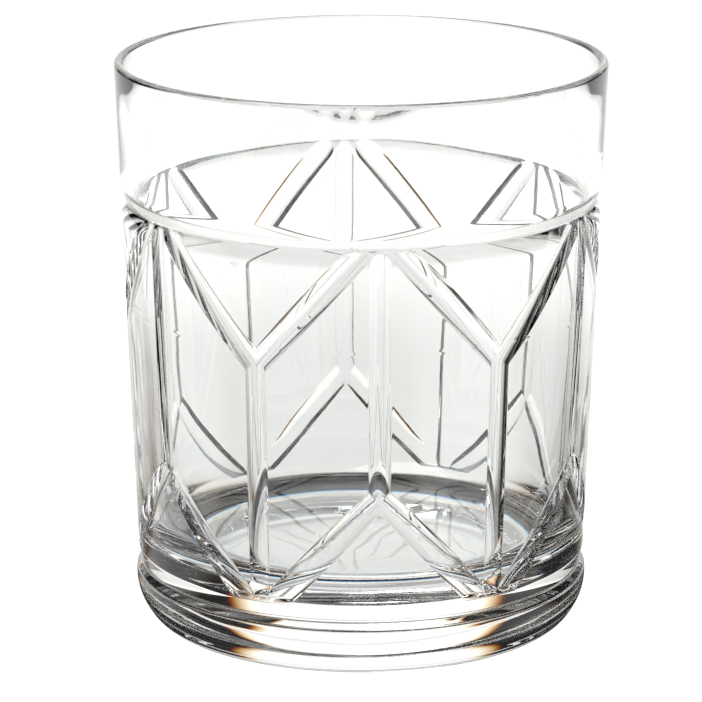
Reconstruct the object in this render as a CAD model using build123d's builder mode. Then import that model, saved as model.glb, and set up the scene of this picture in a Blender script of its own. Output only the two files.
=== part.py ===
from build123d import *
import os
from math import atan2, cos, hypot, radians, sin

# A heavy cut-crystal whiskey tumbler, which is one piece of glass.
# +Z is up, and the origin is the centre of the circle that the glass stands on.
# Six bays of the cut pattern go round it. A bay has an upright cut called a spine,
# with the first spine on the -Y side, and half a bay on there is another, a column.

# Driving dimensions, in millimetres and degrees.
height = 98.0
rim_radius = 42.1            # outside of the wall, carried up to the rim
foot_cone_radius = 38.4      # outside of the wall, carried down to the table
rim_wall = 1.6               # thickness of the wall at the rim
floor_height = 12.9          # inside floor where it would meet the wall, above the table
floor_dome = 0.9             # rise of the floor at its middle
floor_radius = 35.4          # inside of the wall, carried down to the floor
floor_round = 8.0            # round between the floor and the wall

# The ring cut round the glass, below its plain band. Both of its sides are rounded
# over, and they meet in a sharp valley.
ring_top_height = 77.6
ring_valley_height = 74.1
ring_end_height = 70.9
ring_depth = 1.10

# The ring cut above the foot, and the foot, which stands on a rounded heel.
waist_edge_height = 12.8
waist_valley_height = 9.8
waist_depth = 0.65
shoulder_height = 8.5
shoulder_radius = 39.2
foot_sag = 0.6               # fullness of the foot's side
heel_height = 2.1
heel_radius = 37.5
heel_sag = 0.2
rest_outer_radius = 35.4
rest_inner_radius = 29.0
punt_depth = 0.9             # hollow under the glass, inside the ring it stands on

# The cut pattern.
bay_count = 6
bay_angle = 360 / bay_count
column_angle = bay_angle / 2
wheel_section = 2.6          # radius of the cutting wheel's rounded rim
upright_depth = 0.75
slant_top = 77.2             # height at which two slants would meet on a spine
slant_foot = 53.5            # height at which they meet on a column
slant_depths = (0.60, 1.15, 0.75)
fork_apex = 31.9             # height at which two fork arms meet on a spine
fork_foot = 9.7              # height at which they would meet on a column
fork_depths = (0.55, 1.20, 0.55)

taper = atan2(rim_radius - foot_cone_radius, height)


def wall_radius(z):
    """Outside radius of the tapered wall at a height."""
    return foot_cone_radius + (rim_radius - foot_cone_radius) * z / height


def bore_radius(z):
    """Inside radius of the tapered well at a height."""
    up_the_wall = (z - floor_height) / (height - floor_height)
    return floor_radius + (rim_radius - rim_wall - floor_radius) * up_the_wall


def bowed(start, end, sag):
    """An arc between two points, whose middle stands off to the left by the sag."""
    run = end[0] - start[0]
    rise = end[1] - start[1]
    length = hypot(run, rise)
    middle = (
        (start[0] + end[0]) / 2 - sag * rise / length,
        (start[1] + end[1]) / 2 + sag * run / length,
    )
    return ThreePointArc(start, middle, end)


def wheel_centre(angle, z, depth):
    """Where the centre of the wheel's rounded rim is when it cuts to a depth."""
    stand_off = wheel_section - depth
    radius = wall_radius(z) + stand_off * cos(taper)
    x = radius * sin(radians(angle))
    y = -radius * cos(radians(angle))
    return Vector(x, y, z - stand_off * sin(taper))


def cut_path(start, end, depths):
    """The line that the wheel's rim follows between two (angle, height) places,
    at the depths given for its start, middle and end."""
    middle = ((start[0] + end[0]) / 2, (start[1] + end[1]) / 2)
    places = zip((start, middle, end), depths)
    return [wheel_centre(angle, z, depth) for (angle, z), depth in places]


lip_radius = rim_wall / 2
lip_height = height - lip_radius
lip_outside = (wall_radius(lip_height), lip_height)
lip_inside = (bore_radius(lip_height), lip_height)
lip_top = ((lip_outside[0] + lip_inside[0]) / 2, height)

ring_top = (wall_radius(ring_top_height), ring_top_height)
ring_valley = (wall_radius(ring_valley_height) - ring_depth, ring_valley_height)
ring_end = (wall_radius(ring_end_height), ring_end_height)

waist_edge = (wall_radius(waist_edge_height), waist_edge_height)
waist_valley = (wall_radius(waist_valley_height) - waist_depth, waist_valley_height)
shoulder = (shoulder_radius, shoulder_height)
heel = (heel_radius, heel_height)
rest_outer = (rest_outer_radius, 0)
rest_inner = (rest_inner_radius, 0)
punt_top = (0, punt_depth)

floor_middle = (0, floor_height + floor_dome)
floor_corner = (floor_radius, floor_height)

# One bay's cuts, as the solids that the wheel sweeps through.
with BuildPart() as bay_cuts:
    spine_places = ((0, slant_top), (0, fork_apex))
    column_places = ((column_angle, slant_foot), (column_angle, fork_foot))
    for top, bottom in (spine_places, column_places):
        with BuildLine() as upright_path:
            Line(wheel_centre(*top, upright_depth), wheel_centre(*bottom, upright_depth))
        with BuildSketch(Plane(upright_path.line @ 0, z_dir=upright_path.line % 0)):
            Circle(wheel_section)
        sweep(path=upright_path.line)
    for side in (-1, 1):
        slant = cut_path((0, slant_top), (side * column_angle, slant_foot), slant_depths)
        fork = cut_path((0, fork_apex), (side * column_angle, fork_foot), fork_depths)
        for places in (slant, fork):
            with BuildLine() as slanting_path:
                ThreePointArc(*places)
            with BuildSketch(Plane(slanting_path.line @ 0, z_dir=slanting_path.line % 0)):
                Circle(wheel_section)
            sweep(path=slanting_path.line)
    split(bisect_by=Plane.XY.offset(ring_valley_height), keep=Keep.BOTTOM)
    split(bisect_by=Plane.XY.offset(waist_edge_height), keep=Keep.TOP)

with BuildPart() as tumbler_body:
    with BuildSketch(Plane.XZ):
        with BuildLine():
            Line(lip_outside, ring_top)
            TangentArc(ring_top, ring_valley, tangent=(-sin(taper), -cos(taper)))
            TangentArc(ring_end, ring_valley, tangent=(sin(taper), cos(taper)))
            Line(ring_end, waist_edge)
            Line(waist_edge, waist_valley)
            Line(waist_valley, shoulder)
            bowed(shoulder, heel, foot_sag)
            bowed(heel, rest_outer, heel_sag)
            Line(rest_outer, rest_inner)
            TangentArc(punt_top, rest_inner, tangent=(1, 0))
            Line(punt_top, floor_middle)
            TangentArc(floor_middle, floor_corner, tangent=(1, 0))
            Line(floor_corner, lip_inside)
            ThreePointArc(lip_inside, lip_top, lip_outside)
        make_face()
        fillet(vertices().sort_by_distance(floor_corner)[0], floor_round)
    revolve(axis=Axis.Z)
    for bay in range(bay_count):
        with Locations(Location((0, 0, 0), (0, 0, bay * bay_angle))):
            add(bay_cuts.part, mode=Mode.SUBTRACT)

os.makedirs("parts", exist_ok=True)
tumbler_body.part.label = "tumbler_body"
export_step(tumbler_body.part, "parts/tumbler_body.step")
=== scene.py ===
from math import atan2, cos, hypot, pi, radians, sin, sqrt, tan

import bpy
import numpy as np
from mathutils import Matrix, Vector


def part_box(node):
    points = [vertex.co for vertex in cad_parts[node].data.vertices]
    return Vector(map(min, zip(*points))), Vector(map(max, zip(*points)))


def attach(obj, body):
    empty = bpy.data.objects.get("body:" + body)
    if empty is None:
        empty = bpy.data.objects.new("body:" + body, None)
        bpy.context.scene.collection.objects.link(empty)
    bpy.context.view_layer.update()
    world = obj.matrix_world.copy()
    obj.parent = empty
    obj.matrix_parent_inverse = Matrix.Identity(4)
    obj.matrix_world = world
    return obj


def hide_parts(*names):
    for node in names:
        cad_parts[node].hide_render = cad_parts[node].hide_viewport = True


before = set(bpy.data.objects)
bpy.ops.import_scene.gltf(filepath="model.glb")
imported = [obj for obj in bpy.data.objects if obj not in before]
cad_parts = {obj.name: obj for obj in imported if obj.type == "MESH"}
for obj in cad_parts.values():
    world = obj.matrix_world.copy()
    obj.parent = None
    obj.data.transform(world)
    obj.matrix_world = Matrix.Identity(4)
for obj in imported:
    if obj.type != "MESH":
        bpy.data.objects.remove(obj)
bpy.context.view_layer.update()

MM = 0.001
node_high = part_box("tumbler_body")[1]

# A cut-crystal whiskey tumbler, one piece of glass. Its outline is a list of (radius, height)
# points. A bay of the cut pattern has an upright cut called a spine, with the first spine on
# the -Y side, and half a bay on there is another, a column.

# ---------------------------------------------------------------- dimensions, in millimetres
HEIGHT = node_high.z / MM
RIM_RADIUS = 42.1           # outside of the wall, carried up to the rim
FOOT_CONE_RADIUS = 38.4     # outside of the wall, carried down to the table
RIM_WALL = 1.6
LIP_RADIUS = RIM_WALL / 2
FLOOR_HEIGHT = 12.9
FLOOR_DOME = 0.9
FLOOR_RADIUS = 35.4         # inside of the wall, carried down to the floor
FLOOR_ROUND = 8.0

# The ring cut below the plain band.
RING_TOP = 77.6
RING_VALLEY = 74.1
RING_END = 70.9
RING_DEPTH = 1.10

# The ring cut above the foot, and the foot.
WAIST_EDGE = 12.8
WAIST_VALLEY = 9.8
WAIST_DEPTH = 0.65
SHOULDER_HEIGHT = 8.5
SHOULDER_RADIUS = 39.2
FOOT_SAG = 0.6
HEEL_HEIGHT = 2.1
HEEL_RADIUS = 37.5
HEEL_SAG = 0.2
REST_OUTER = 35.4
REST_INNER = 29.0
PUNT_DEPTH = 0.9

# The cut pattern. A slanting cut's depths are those at its start, middle and end.
BAYS = 6
HALF_BAY = pi / BAYS
WHEEL_SECTION = 2.6
UPRIGHT_DEPTH = 0.75
SLANT_TOP = 77.2
SLANT_FOOT = 53.5
SLANT_DEPTHS = (0.60, 1.15, 0.75)
FORK_APEX = 31.9
FORK_FOOT = 9.7
FORK_DEPTHS = (0.55, 1.20, 0.55)
EDGE_SOFTNESS = 0.03        # rounding of the cuts' sharp edges

# ---------------------------------------------------------------- mesh density
HALF_BAY_COLUMNS = 72
COARSE_RATIO = 3            # the pattern's rows have this many vertices for one of a plain row
PATTERN_ROW = 0.40          # height of one row of the cut pattern, in millimetres
CUT_COLUMNS = 0.55          # share of the columns that gather where the cuts turn sharply
GATHER_REACH = 0.35         # how far they gather from there, in millimetres
FINE_SAMPLES = 901          # places in half a bay where the cuts are measured for that


def wall_radius(z):
    """Outside radius of the tapered wall at a height."""
    return FOOT_CONE_RADIUS + (RIM_RADIUS - FOOT_CONE_RADIUS) * z / HEIGHT


def bore_radius(z):
    """Inside radius of the tapered well at a height."""
    up = (z - FLOOR_HEIGHT) / (HEIGHT - FLOOR_HEIGHT)
    return FLOOR_RADIUS + (RIM_RADIUS - RIM_WALL - FLOOR_RADIUS) * up


# ---------------------------------------------------------------- profile curves
def line(start, end, count):
    """Points after the first of a straight line."""
    run = end[0] - start[0]
    rise = end[1] - start[1]
    return [(start[0] + run * t, start[1] + rise * t) for t in np.linspace(0, 1, count + 1)[1:]]


def bowed(start, end, sag, count):
    """Points after the first of an arc whose middle stands off to the left by the sag."""
    run = end[0] - start[0]
    rise = end[1] - start[1]
    length = hypot(run, rise)
    radius = (length**2 / 4 + sag**2) / (2 * sag)
    half = np.arcsin(min(1, length / (2 * radius)))
    points = []
    for t in np.linspace(-half, half, count + 1)[1:]:
        along = length / 2 + radius * sin(t)
        off = radius * cos(t) - (radius - sag)
        r = start[0] + (run * along - rise * off) / length
        z = start[1] + (rise * along + run * off) / length
        points.append((r, z))
    return points


def arc_about(centre, radius, start, end, count):
    """Points of an arc between two angles, both ends counted."""
    angles = np.linspace(start, end, count + 1)
    return [(centre[0] + radius * cos(t), centre[1] + radius * sin(t)) for t in angles]


# ---------------------------------------------------------------- the cut pattern
def wheel_cut(distance, depth):
    """How far the wheel's round rim cuts below the wall, negative outside its cut."""
    inside = np.sqrt(np.clip(WHEEL_SECTION**2 - distance**2, 0, None))
    return inside - (WHEEL_SECTION - depth)


def along_depth(t, depths):
    """A smooth depth through the three values at the start, middle and end."""
    start, middle, end = depths
    return start + t * (4 * middle - 3 * start - end) + t * t * (2 * start + 2 * end - 4 * middle)


def slanting_cut(around, z, top, foot, width, depths):
    """A cut from a spine at one height to a column at another."""
    rise = foot - top
    length = np.sqrt(width**2 + rise**2)
    t = (around * width + (z - top) * rise) / length**2
    off = (around * rise - (z - top) * width) / length
    beyond = np.clip(np.abs(t - 0.5) - 0.5, 0, None) * length
    distance = np.sqrt(off**2 + beyond**2)
    return wheel_cut(distance, along_depth(np.clip(t, 0, 1), depths))


def pattern_depth(angle, z):
    """Depth of the cut pattern, in millimetres, at an angle from a spine and a height."""
    radius = wall_radius(z)
    bay = (angle + HALF_BAY) % (2 * HALF_BAY) - HALF_BAY
    from_spine = np.abs(bay) * radius
    width = HALF_BAY * radius
    from_column = width - from_spine
    spine_off = np.sqrt(from_spine**2 + np.clip(FORK_APEX - z, 0, None) ** 2)
    column_off = np.sqrt(from_column**2 + np.clip(z - SLANT_FOOT, 0, None) ** 2)
    cuts = [
        wheel_cut(spine_off, UPRIGHT_DEPTH),
        wheel_cut(column_off, UPRIGHT_DEPTH),
        slanting_cut(from_spine, z, SLANT_TOP, SLANT_FOOT, width, SLANT_DEPTHS),
        slanting_cut(from_spine, z, FORK_APEX, FORK_FOOT, width, FORK_DEPTHS),
    ]
    deepest = np.max(cuts, axis=0)
    return (deepest + np.sqrt(deepest**2 + EDGE_SOFTNESS**2)) / 2


def smoothed(values, reach):
    """Values spread over their neighbours, as if they were mirrored past both ends."""
    kernel = np.hanning(2 * reach + 1)
    padded = np.concatenate([values[reach:0:-1], values, values[-2 : -reach - 2 : -1]])
    return np.convolve(padded, kernel / kernel.sum(), "valid")


def column_angles(z):
    """Angles of the mesh's columns at a height, closer together where the cuts turn sharply."""
    fine = np.linspace(0, HALF_BAY, FINE_SAMPLES)
    step = fine[1] * wall_radius(z)
    slope = np.gradient(pattern_depth(fine, z), step)
    turning = smoothed(np.abs(np.gradient(np.arctan(slope), step)), int(GATHER_REACH / step))
    share = (1 - CUT_COLUMNS) / HALF_BAY + CUT_COLUMNS * turning / (turning.mean() * HALF_BAY)
    total = np.concatenate([[0], np.cumsum((share[1:] + share[:-1]) / 2)])
    places = np.interp(np.linspace(0, 1, HALF_BAY_COLUMNS + 1), total / total[-1], fine)
    bay = np.concatenate([places[:-1], 2 * HALF_BAY - places[:0:-1]])
    return np.concatenate([bay + 2 * HALF_BAY * k for k in range(BAYS)])


# ---------------------------------------------------------------- the glass
def rounded_side(start, end, count):
    """Points after the first of a convex side, which leaves the wall smoothly for a valley."""
    wall = atan2(RIM_RADIUS - FOOT_CONE_RADIUS, HEIGHT)
    chord = atan2(start[0] - end[0], start[1] - end[1])
    sag = hypot(end[0] - start[0], end[1] - start[1]) / 2 * tan(abs(chord - wall) / 2)
    return bowed(start, end, sag, count)


def ring_sides():
    """The ring's upper side down to its valley, and its lower side down to its end."""
    top = (wall_radius(RING_TOP), RING_TOP)
    valley = (wall_radius(RING_VALLEY) - RING_DEPTH, RING_VALLEY)
    end = (wall_radius(RING_END), RING_END)
    upper = [top] + rounded_side(top, valley, count=16)
    lower = [valley] + rounded_side(valley, end, count=20)
    return upper, lower


def waist_side():
    """The flat side that the wheel leaves above the waist's valley."""
    edge = (wall_radius(WAIST_EDGE), WAIST_EDGE)
    valley = (wall_radius(WAIST_VALLEY) - WAIST_DEPTH, WAIST_VALLEY)
    return [edge, valley]


def radius_on(side, z):
    """Radius of a falling side at a height."""
    return np.interp(z, [p[1] for p in side[::-1]], [p[0] for p in side[::-1]])


def foot_profile():
    """Outside and underside from below the waist's valley to near the axis."""
    valley = waist_side()[-1]
    shoulder = (SHOULDER_RADIUS, SHOULDER_HEIGHT)
    heel = (HEEL_RADIUS, HEEL_HEIGHT)
    rest_outer = (REST_OUTER, 0)
    points = line(valley, shoulder, count=4)
    points += bowed(shoulder, heel, FOOT_SAG, count=18)
    points += bowed(heel, rest_outer, HEEL_SAG, count=8)
    points += line(rest_outer, (REST_INNER, 0), count=2)
    sphere = (REST_INNER**2 + PUNT_DEPTH**2) / (2 * PUNT_DEPTH)
    for r in np.linspace(REST_INNER, 0, 14)[1:-1]:
        points.append((r, PUNT_DEPTH - sphere + sqrt(sphere**2 - r**2)))
    return points


def well_profile():
    """Inside from near the middle of the floor up to the lip, and over it."""
    flare = atan2(RIM_RADIUS - RIM_WALL - FLOOR_RADIUS, HEIGHT - FLOOR_HEIGHT)
    sphere = (FLOOR_RADIUS**2 + FLOOR_DOME**2) / (2 * FLOOR_DOME)
    dome_z = FLOOR_HEIGHT + FLOOR_DOME - sphere
    # the round's centre stands its own radius inside the wall and outside the dome's sphere
    reach = sphere + FLOOR_ROUND
    wall_at = bore_radius(dome_z) - FLOOR_ROUND / cos(flare)
    lean = tan(flare)
    up = (sqrt(reach**2 * (1 + lean**2) - wall_at**2) - wall_at * lean) / (1 + lean**2)
    centre = (wall_at + lean * up, dome_z + up)
    tilt = atan2(centre[0], up)
    floor_tilts = np.linspace(0, tilt, 16)[1:-1]
    points = [(sphere * sin(t), dome_z + sphere * cos(t)) for t in floor_tilts]
    points += arc_about(centre, FLOOR_ROUND, -pi / 2 - tilt, -flare, count=24)
    lip_z = HEIGHT - LIP_RADIUS
    lip_inside = (bore_radius(lip_z), lip_z)
    lip_outside = (wall_radius(lip_z), lip_z)
    points += line(points[-1], lip_inside, count=10)
    points += bowed(lip_inside, lip_outside, LIP_RADIUS, count=12)
    return points


def round_row(r, z, angles):
    """A row of vertices, where the radius is one number or one for each angle."""
    return np.stack([r * np.sin(angles), -r * np.cos(angles), np.full(len(angles), z)], 1)


def pattern_rows():
    """Rows of the cut pattern, from the ring's valley to the waist's, and the last one's angles."""
    lower = ring_sides()[1]
    waist = waist_side()
    rows = []
    count = round((RING_VALLEY - WAIST_VALLEY) / PATTERN_ROW)
    for z in np.linspace(RING_VALLEY, WAIST_VALLEY, count + 1):
        angles = column_angles(z)
        radius = wall_radius(z) - pattern_depth(angles, z)
        if z > RING_END:
            radius = np.minimum(radius, radius_on(lower, z))
        if z < WAIST_EDGE:
            radius = radius_on(waist, z)
        rows.append(round_row(radius, z, angles))
    return rows, angles


def outside_rows(even, coarse):
    """Rows of the outside, from just under the lip down to the last ring before the axis."""
    upper = ring_sides()[0]
    lip_z = HEIGHT - LIP_RADIUS
    band = line((wall_radius(lip_z), lip_z), upper[0], count=5)
    rows = [round_row(r, z, coarse) for r, z in band]
    cut_angles = column_angles(RING_VALLEY)
    for k, (r, z) in enumerate(upper[1:-1]):
        mix = (k + 1) / len(upper)
        rows.append(round_row(r, z, even + (cut_angles - even) * mix))
    pattern, angles = pattern_rows()
    rows += pattern
    foot = foot_profile()
    evening_rows = 3
    for k, (r, z) in enumerate(foot[:evening_rows]):
        mix = (k + 1) / (evening_rows + 1)
        rows.append(round_row(r, z, angles + (even - angles) * mix))
    rows += [round_row(r, z, coarse) for r, z in foot[evening_rows:]]
    return rows


def bridge(upper, lower):
    """Faces between two rows of vertex numbers, in the order that makes them look outwards."""
    count = min(len(upper), len(lower))
    above = len(upper) // count
    below = len(lower) // count
    faces = []
    for j in range(count):
        top = [upper[(j * above + i) % len(upper)] for i in range(above + 1)]
        low = [lower[(j * below + i) % len(lower)] for i in range(below + 1)]
        faces.append(low + top[::-1])
    return faces


def fan(row, middle, step):
    """Faces from a row of vertex numbers to a point on the axis, turned over by a step of -1."""
    return [[middle] + [row[j], row[(j + 1) % len(row)]][::step] for j in range(len(row))]


def glass_faces(rows, outside_count):
    """Faces of the closed skin: down the outside, under the foot, up the well and over the lip."""
    ends = np.cumsum([len(row) for row in rows]).tolist()
    numbers = [list(range(end - len(row), end)) for row, end in zip(rows, ends)]
    outside = numbers[:outside_count]
    inside = numbers[outside_count:]
    faces = []
    for side in (outside, inside):
        for upper, lower in zip(side, side[1:]):
            faces += bridge(upper, lower)
    faces += bridge(inside[-1], outside[0])
    under_middle = ends[-1]
    floor_middle = under_middle + 1
    return faces + fan(outside[-1], under_middle, -1) + fan(inside[0], floor_middle, 1)


def build_glass():
    columns = 2 * BAYS * HALF_BAY_COLUMNS
    even = np.arange(columns) * 2 * pi / columns
    coarse = even[::COARSE_RATIO]
    outside = outside_rows(even, coarse)
    rows = outside + [round_row(r, z, coarse) for r, z in well_profile()]
    middles = np.array([[0, 0, PUNT_DEPTH], [0, 0, FLOOR_HEIGHT + FLOOR_DOME]])
    mesh = bpy.data.meshes.new("crystal_body")
    mesh.from_pydata(np.concatenate(rows + [middles]) * MM, [], glass_faces(rows, len(outside)))
    mesh.validate()
    mesh.update()
    mesh.shade_smooth()
    glass = bpy.data.objects.new("crystal_body", mesh)
    bpy.context.scene.collection.objects.link(glass)
    return glass


# ---------------------------------------------------------------- materials
CRYSTAL_COLOUR = (0.985, 0.995, 0.982, 1)
CRYSTAL_IOR = 1.54

# The hand-finished surface has long shallow waves and a very fine polish, in millimetres.
WAVE_LENGTH = 22
WAVE_HEIGHT = 0.25
POLISH_LENGTH = 0.9
POLISH_HEIGHT = 0.0004


class Nodes:
    """Short calls that add nodes to a material's or a world's tree."""

    def __init__(self, tree):
        self.tree = tree

    def feed(self, socket, value):
        """Set a number on a socket, or link another node's output to it."""
        if isinstance(value, (int, float)):
            socket.default_value = value
        else:
            self.tree.links.new(value, socket)

    def coordinates(self, kind):
        return self.tree.nodes.new("ShaderNodeTexCoord").outputs[kind]

    def split(self, vector):
        """The three numbers of a vector."""
        node = self.tree.nodes.new("ShaderNodeSeparateXYZ")
        self.feed(node.inputs[0], vector)
        return node.outputs

    def math(self, operation, *values):
        node = self.tree.nodes.new("ShaderNodeMath")
        node.operation = operation
        for socket, value in zip(node.inputs, values):
            self.feed(socket, value)
        return node.outputs[0]

    def length(self, x, y):
        """Length of a flat vector."""
        squares = self.math("ADD", self.math("MULTIPLY", x, x), self.math("MULTIPLY", y, y))
        return self.math("SQRT", squares)

    def step(self, value, start, end):
        """0 before start, 1 after end, smooth between them."""
        node = self.tree.nodes.new("ShaderNodeMapRange")
        node.interpolation_type = "SMOOTHSTEP"
        for socket, given in zip(node.inputs, (value, start, end)):
            self.feed(socket, given)
        return node.outputs[0]

    def blend(self, factor, a, b):
        """a where the factor is 0, and b where it is 1."""
        node = self.tree.nodes.new("ShaderNodeMix")
        node.data_type = "FLOAT"
        for index, value in ((0, factor), (2, a), (3, b)):
            self.feed(node.inputs[index], value)
        return node.outputs[0]

    def noise(self, vector, length, detail):
        """Noise between 0 and 1, with a length in millimetres."""
        node = self.tree.nodes.new("ShaderNodeTexNoise")
        node.inputs["Scale"].default_value = 1 / (length * MM)
        node.inputs["Detail"].default_value = detail
        self.feed(node.inputs["Vector"], vector)
        return node.outputs["Fac"]


def crystal_material():
    """Clear crystal, with a surface that is not quite even."""
    material = bpy.data.materials.new("crystal")
    material.use_nodes = True
    shader = material.node_tree.nodes["Principled BSDF"]
    shader.inputs["Base Color"].default_value = CRYSTAL_COLOUR
    shader.inputs["Roughness"].default_value = 0.0
    shader.inputs["IOR"].default_value = CRYSTAL_IOR
    shader.inputs["Transmission Weight"].default_value = 1.0
    make = Nodes(material.node_tree)
    place = make.coordinates("Object")
    waves = make.noise(place, WAVE_LENGTH, detail=1.0)
    polish = make.noise(place, POLISH_LENGTH, detail=3.0)
    bump = material.node_tree.nodes.new("ShaderNodeBump")
    bump.inputs["Strength"].default_value = 1.0
    bump.inputs["Distance"].default_value = WAVE_HEIGHT * MM
    surface = make.math("MULTIPLY_ADD", polish, POLISH_HEIGHT / WAVE_HEIGHT, waves)
    make.feed(bump.inputs["Height"], surface)
    make.feed(shader.inputs["Normal"], bump.outputs["Normal"])
    return material


# ---------------------------------------------------------------- studio
# The glass stands among bright backdrops with darkness between them, which draw the dark
# outlines of clear glass. The camera itself sees plain white past the glass.
# A backdrop is its compass direction, where 0 is +Y, its half width where it is full and
# where it ends, in degrees, and its brightness. The floor has its own painted pools of light of
# this kind, near and far.
BACKDROPS = ((3, 21, 28, 1.2), (-90, 12, 18, 0.25), (135, 14, 22, 0.15))
NEAR_FLOOR_PAINTED_LIGHT = ((3, 30, 75, 0.95), (-90, 14, 26, 0.8), (135, 18, 32, 0.8))
FAR_FLOOR_PAINTED_LIGHT = ((3, 75, 110, 1.2), (-90, 25, 45, 1.1), (135, 30, 60, 1.1))
DARK = 0.02
CAMERA_WHITE = 1.1

# The sky's top starts and is full at these degrees above the horizon.
TOP_START = 56
TOP_FULL = 66
TOP_LEVEL = 0.2

# Circles of painted light and shade on the floor about the glass, as the radii between which each
# one changes, in
# millimetres: painted shade under the glass with a darker painted-shade ring under the foot, the
# foot's edge, its painted shadow, and the painted light near and far.
UNDER_GLASS_PAINTED_LIGHT = 0.8
PAINTED_SHADE_RING_LEVEL = 0.45
PAINTED_SHADE_RING_INNER = (24, 26)
PAINTED_SHADE_RING_OUTER = (31, 32)
FOOT_EDGE = (33.6, 34.6)
SHADOW_LEVEL = 0.01
SHADOW_EDGE = (43, 49)
NEAR_TO_FAR = (150, 260)

# Cut glass spreads the colours, which the renderer doesn't do. So each edge in the studio is
# turned by these degrees for red, green and blue, and each circle on the floor is moved by
# so many millimetres for one degree.
COLOUR_SHIFTS = (0.9, 0.0, -0.9)
CIRCLE_SHIFT = 0.3

FLOOR_DROP = 0.08           # how far the floor is below the foot, in millimetres

# The floor, the light and the camera are placed in metres.
FLOOR_HALF = 3.0            # half the floor's side
SOFTBOX_SIZE = (0.9, 0.6)
SOFTBOX_POWER = 6
SOFTBOX_PLACE = (-0.25, 0.1, 1.2)
SOFTBOX_AIM = (0, 0, 0.05)

CAMERA_TURN = -4.5          # degrees round the glass from the first spine
CAMERA_TILT = 14.92         # degrees that it looks down by
CAMERA_DISTANCE = 0.6833
CAMERA_AIM_HEIGHT = 0.04632
CAMERA_AIM_LEFT = 0.001723  # how far it aims to the left of the axis
CAMERA_SENSOR = 36          # in millimetres, as the lens is
CAMERA_LENS = 202.15

BOUNCES = 24
GLOSSY_BOUNCES = 12


def backdrop_level(make, x, y, backdrops, shift):
    """Bright towards the backdrops, which stand round the glass, and dark between them; on the
    floor these lobes are painted light.
    """
    flat = make.length(x, y)
    level = DARK
    for compass, full, end, bright in backdrops:
        along_x = make.math("MULTIPLY", x, sin(radians(compass)))
        along_y = make.math("MULTIPLY", y, cos(radians(compass)))
        facing = make.math("DIVIDE", make.math("ADD", along_x, along_y), flat)
        lobe = make.step(facing, cos(radians(end + shift)), cos(radians(full + shift)))
        level = make.math("MAXIMUM", level, make.math("MULTIPLY", lobe, bright))
    return level


def painted_floor_light(make, x, y, shift):
    """Painted light and shadow of the floor round and under the glass, for one colour's shift of
    the edges.
    """
    from_axis = make.length(x, y)

    def outside(circle):
        """0 within a circle, 1 outside it."""
        start, end = [(radius - shift * CIRCLE_SHIFT) * MM for radius in circle]
        return make.step(from_axis, start, end)

    # painted pools of light on the floor, near the glass and far from it
    near = backdrop_level(make, x, y, NEAR_FLOOR_PAINTED_LIGHT, shift)
    far = backdrop_level(make, x, y, FAR_FLOOR_PAINTED_LIGHT, shift)
    start, end = [radius * MM for radius in NEAR_TO_FAR]
    around = make.blend(make.step(from_axis, start, end), near, far)
    # painted shade under the glass, darker in a ring under the foot
    under = make.blend(outside(PAINTED_SHADE_RING_INNER), UNDER_GLASS_PAINTED_LIGHT, PAINTED_SHADE_RING_LEVEL)
    under = make.blend(outside(PAINTED_SHADE_RING_OUTER), under, UNDER_GLASS_PAINTED_LIGHT)
    # a near-black painted shadow round the foot, past which the painted pools of light begin
    beyond = make.blend(outside(SHADOW_EDGE), SHADOW_LEVEL, around)
    return make.blend(outside(FOOT_EDGE), under, beyond)


def sky_level(make, x, y, z, shift):
    """Brightness of the studio in a direction, for one colour's shift of the edges."""
    backdrops = backdrop_level(make, x, y, BACKDROPS, shift)
    start, end = radians(TOP_START - shift), radians(TOP_FULL - shift)
    top = make.step(make.math("ARCSINE", z), start, end)
    return make.blend(top, backdrops, TOP_LEVEL)


def camera_sees_white(make, levels):
    """The colour of red, green and blue levels, or white where the camera looks past the glass."""
    camera_ray = make.tree.nodes.new("ShaderNodeLightPath").outputs["Is Camera Ray"]
    colour = make.tree.nodes.new("ShaderNodeCombineColor")
    for socket, level in zip(colour.inputs, levels):
        make.feed(socket, make.blend(camera_ray, level, CAMERA_WHITE))
    return colour.outputs[0]


def floor_material():
    material = bpy.data.materials.new("pale_floor_painted_light")
    material.use_nodes = True
    tree = material.node_tree
    tree.nodes.clear()
    make = Nodes(tree)
    x, y = make.split(make.coordinates("Object"))[:2]
    levels = [painted_floor_light(make, x, y, shift) for shift in COLOUR_SHIFTS]
    # the floor glows with this painted light and shadow, and the camera alone sees it plain white
    emission = tree.nodes.new("ShaderNodeEmission")
    make.feed(emission.inputs["Color"], camera_sees_white(make, levels))
    output = tree.nodes.new("ShaderNodeOutputMaterial")
    make.feed(output.inputs["Surface"], emission.outputs[0])
    return material


def make_floor():
    low = -FLOOR_DROP * MM
    corners = [(side * FLOOR_HALF, -FLOOR_HALF, low) for side in (-1, 1)]
    corners += [(side * FLOOR_HALF, FLOOR_HALF, low) for side in (1, -1)]
    mesh = bpy.data.meshes.new("floor")
    mesh.from_pydata(corners, [], [(0, 1, 2, 3)])
    mesh.materials.append(floor_material())
    floor = bpy.data.objects.new("floor", mesh)
    bpy.context.scene.collection.objects.link(floor)


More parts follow.
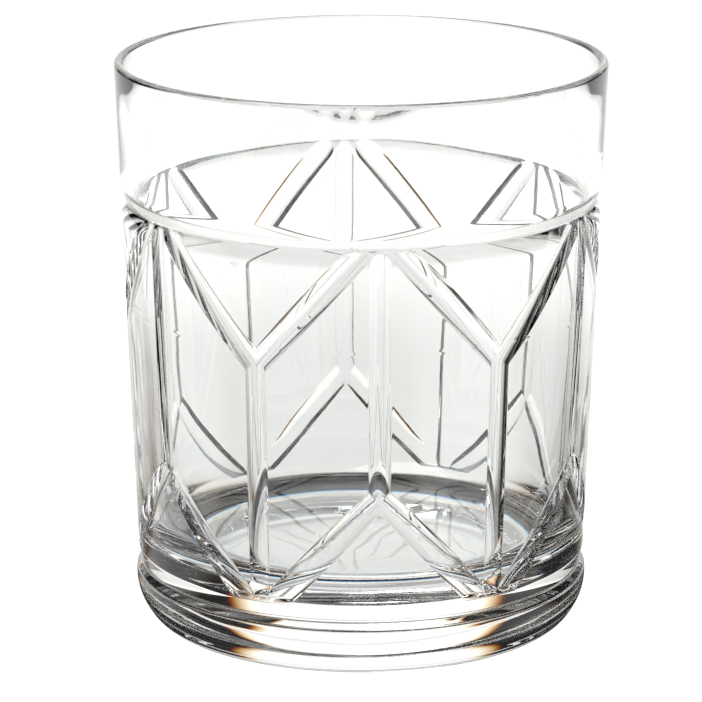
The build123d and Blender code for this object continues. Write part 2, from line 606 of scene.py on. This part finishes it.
def make_world():
    world = bpy.data.worlds.new("studio")
    bpy.context.scene.world = world
    world.use_nodes = True
    make = Nodes(world.node_tree)
    x, y, z = make.split(make.coordinates("Generated"))
    levels = [sky_level(make, x, y, z, shift) for shift in COLOUR_SHIFTS]
    background = world.node_tree.nodes["Background"]
    make.feed(background.inputs["Color"], camera_sees_white(make, levels))


def aim_at(thing, target):
    """Turn a light or camera so that it looks at a place."""
    thing.rotation_euler = (target - thing.location).to_track_quat("-Z", "Y").to_euler()


def make_lights():
    data = bpy.data.lights.new("overhead_softbox", "AREA")
    data.shape = "RECTANGLE"
    data.size, data.size_y = SOFTBOX_SIZE
    data.energy = SOFTBOX_POWER
    light = bpy.data.objects.new("overhead_softbox", data)
    light.location = SOFTBOX_PLACE
    aim_at(light, Vector(SOFTBOX_AIM))
    bpy.context.scene.collection.objects.link(light)


def make_camera():
    turn = radians(CAMERA_TURN)
    tilt = radians(CAMERA_TILT)
    middle = Vector((0, 0, CAMERA_AIM_HEIGHT))
    toward_camera = Vector((sin(turn) * cos(tilt), -cos(turn) * cos(tilt), sin(tilt)))
    right = Vector((cos(turn), sin(turn), 0))
    data = bpy.data.cameras.new("camera")
    data.sensor_width = CAMERA_SENSOR
    data.lens = CAMERA_LENS
    camera = bpy.data.objects.new("camera", data)
    camera.location = middle + toward_camera * CAMERA_DISTANCE
    aim_at(camera, middle - right * CAMERA_AIM_LEFT)
    bpy.context.scene.collection.objects.link(camera)
    bpy.context.scene.camera = camera


def set_light_paths():
    """Let light pass through enough layers of glass, and keep the studio's true white."""
    scene = bpy.context.scene
    scene.view_settings.view_transform = "Standard"
    scene.cycles.max_bounces = BOUNCES
    scene.cycles.transmission_bounces = BOUNCES
    scene.cycles.glossy_bounces = GLOSSY_BOUNCES
    scene.cycles.caustics_refractive = True
    scene.cycles.caustics_reflective = True


set_light_paths()
make_camera()
make_world()
make_lights()
make_floor()
glass = build_glass()
glass.data.materials.append(crystal_material())
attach(glass, "root")
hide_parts("tumbler_body")
